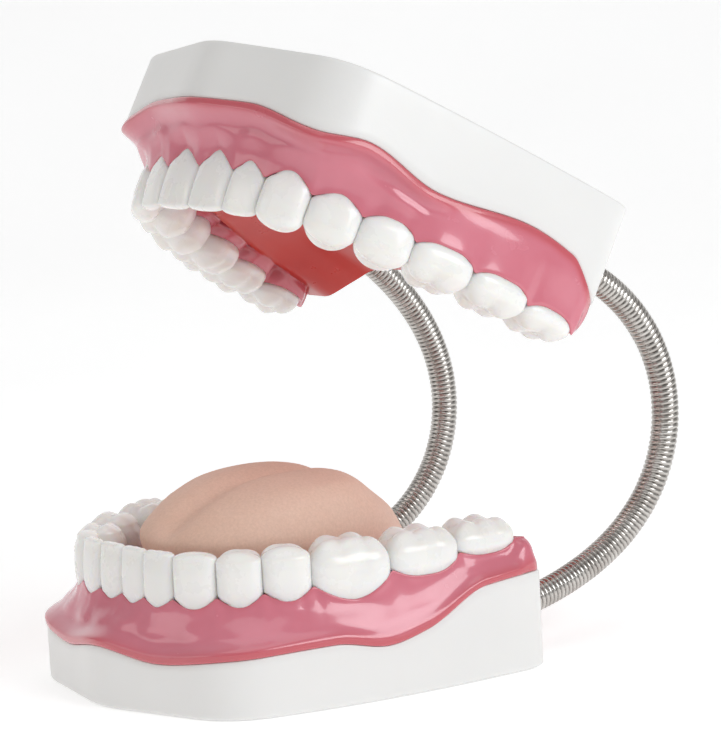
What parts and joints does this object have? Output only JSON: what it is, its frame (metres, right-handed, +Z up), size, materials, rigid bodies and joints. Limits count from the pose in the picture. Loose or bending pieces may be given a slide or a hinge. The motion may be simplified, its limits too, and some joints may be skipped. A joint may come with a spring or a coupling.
{
  "type": "typodont model",
  "caption": "Oversized toothbrushing demonstration jaws: full upper and lower arches on flat bases, tongue and red palate, joined by two bendable metal goosenecks.",
  "frame": {"origin": "centre of the lower base's underside, on the table, on the middle plane", "axes": "+Z up, -Y towards the front teeth, +X towards the model's own left side"},
  "size_m": [0.1892, 0.2437, 0.2467],
  "materials": {
    "base_white": "semi-gloss white moulded plastic",
    "gum_pink": "high-gloss pink",
    "palate_red": "gloss orange-red",
    "tooth_resin": "satin ivory",
    "tongue_vinyl": "matte, fine grain",
    "steel": "bright plated"
  },
  "bodies": {
    "lower_jaw": {"lower_right_central_incisor": "tooth_resin", "lower_right_lateral_incisor": "tooth_resin", "lower_right_canine": "tooth_resin", "lower_right_first_premolar": "tooth_resin", "lower_right_second_premolar": "tooth_resin", "lower_right_first_molar": "tooth_resin", "lower_right_second_molar": "tooth_resin", "lower_right_third_molar": "tooth_resin", "lower_left_central_incisor": "tooth_resin", "lower_left_lateral_incisor": "tooth_resin", "lower_left_canine": "tooth_resin", "lower_left_first_premolar": "tooth_resin", "lower_left_second_premolar": "tooth_resin", "lower_left_first_molar": "tooth_resin", "lower_left_second_molar": "tooth_resin", "lower_left_third_molar": "tooth_resin", "lower_gum": "gum_pink", "lower_base_shell": "base_white", "lower_base_plate": "base_white", "lower_neck_stud_right": "steel", "lower_neck_stud_left": "steel", "lower_neck_nut_right": "steel", "lower_neck_nut_left": "steel", "tongue": "tongue_vinyl", "gooseneck_left_lower": "steel", "gooseneck_right_lower": "steel"},
    "neck_middle": {"gooseneck_left_middle": "steel", "gooseneck_right_middle": "steel"},
    "upper_jaw": {"upper_right_central_incisor": "tooth_resin", "upper_right_lateral_incisor": "tooth_resin", "upper_right_canine": "tooth_resin", "upper_right_first_premolar": "tooth_resin", "upper_right_second_premolar": "tooth_resin", "upper_right_first_molar": "tooth_resin", "upper_right_second_molar": "tooth_resin", "upper_right_third_molar": "tooth_resin", "upper_left_central_incisor": "tooth_resin", "upper_left_lateral_incisor": "tooth_resin", "upper_left_canine": "tooth_resin", "upper_left_first_premolar": "tooth_resin", "upper_left_second_premolar": "tooth_resin", "upper_left_first_molar": "tooth_resin", "upper_left_second_molar": "tooth_resin", "upper_left_third_molar": "tooth_resin", "upper_gum": "gum_pink", "upper_base_shell": "base_white", "upper_base_plate": "base_white", "upper_neck_stud_right": "steel", "upper_neck_stud_left": "steel", "upper_neck_nut_right": "steel", "upper_neck_nut_left": "steel", "palate": "palate_red", "gooseneck_left_upper": "steel", "gooseneck_right_upper": "steel"}
  },
  "joints": [
    {"name": "neck_bend_lower", "type": "hinge", "parent": "lower_jaw", "child": "neck_middle", "pos_m": [0, 0.1585, 0.065], "axis": [1, 0, 0], "range_deg": [-22, 44.4]},
    {"name": "neck_bend_upper", "type": "hinge", "parent": "neck_middle", "child": "upper_jaw", "pos_m": [0, 0.1304, 0.1386], "axis": [1, 0, 0], "range_deg": [-16.2, 8.1]}
  ],
  "couplings": [
    {"joint": "neck_bend_upper", "follows": "neck_bend_lower", "ratio": -0.3636}
  ]
}
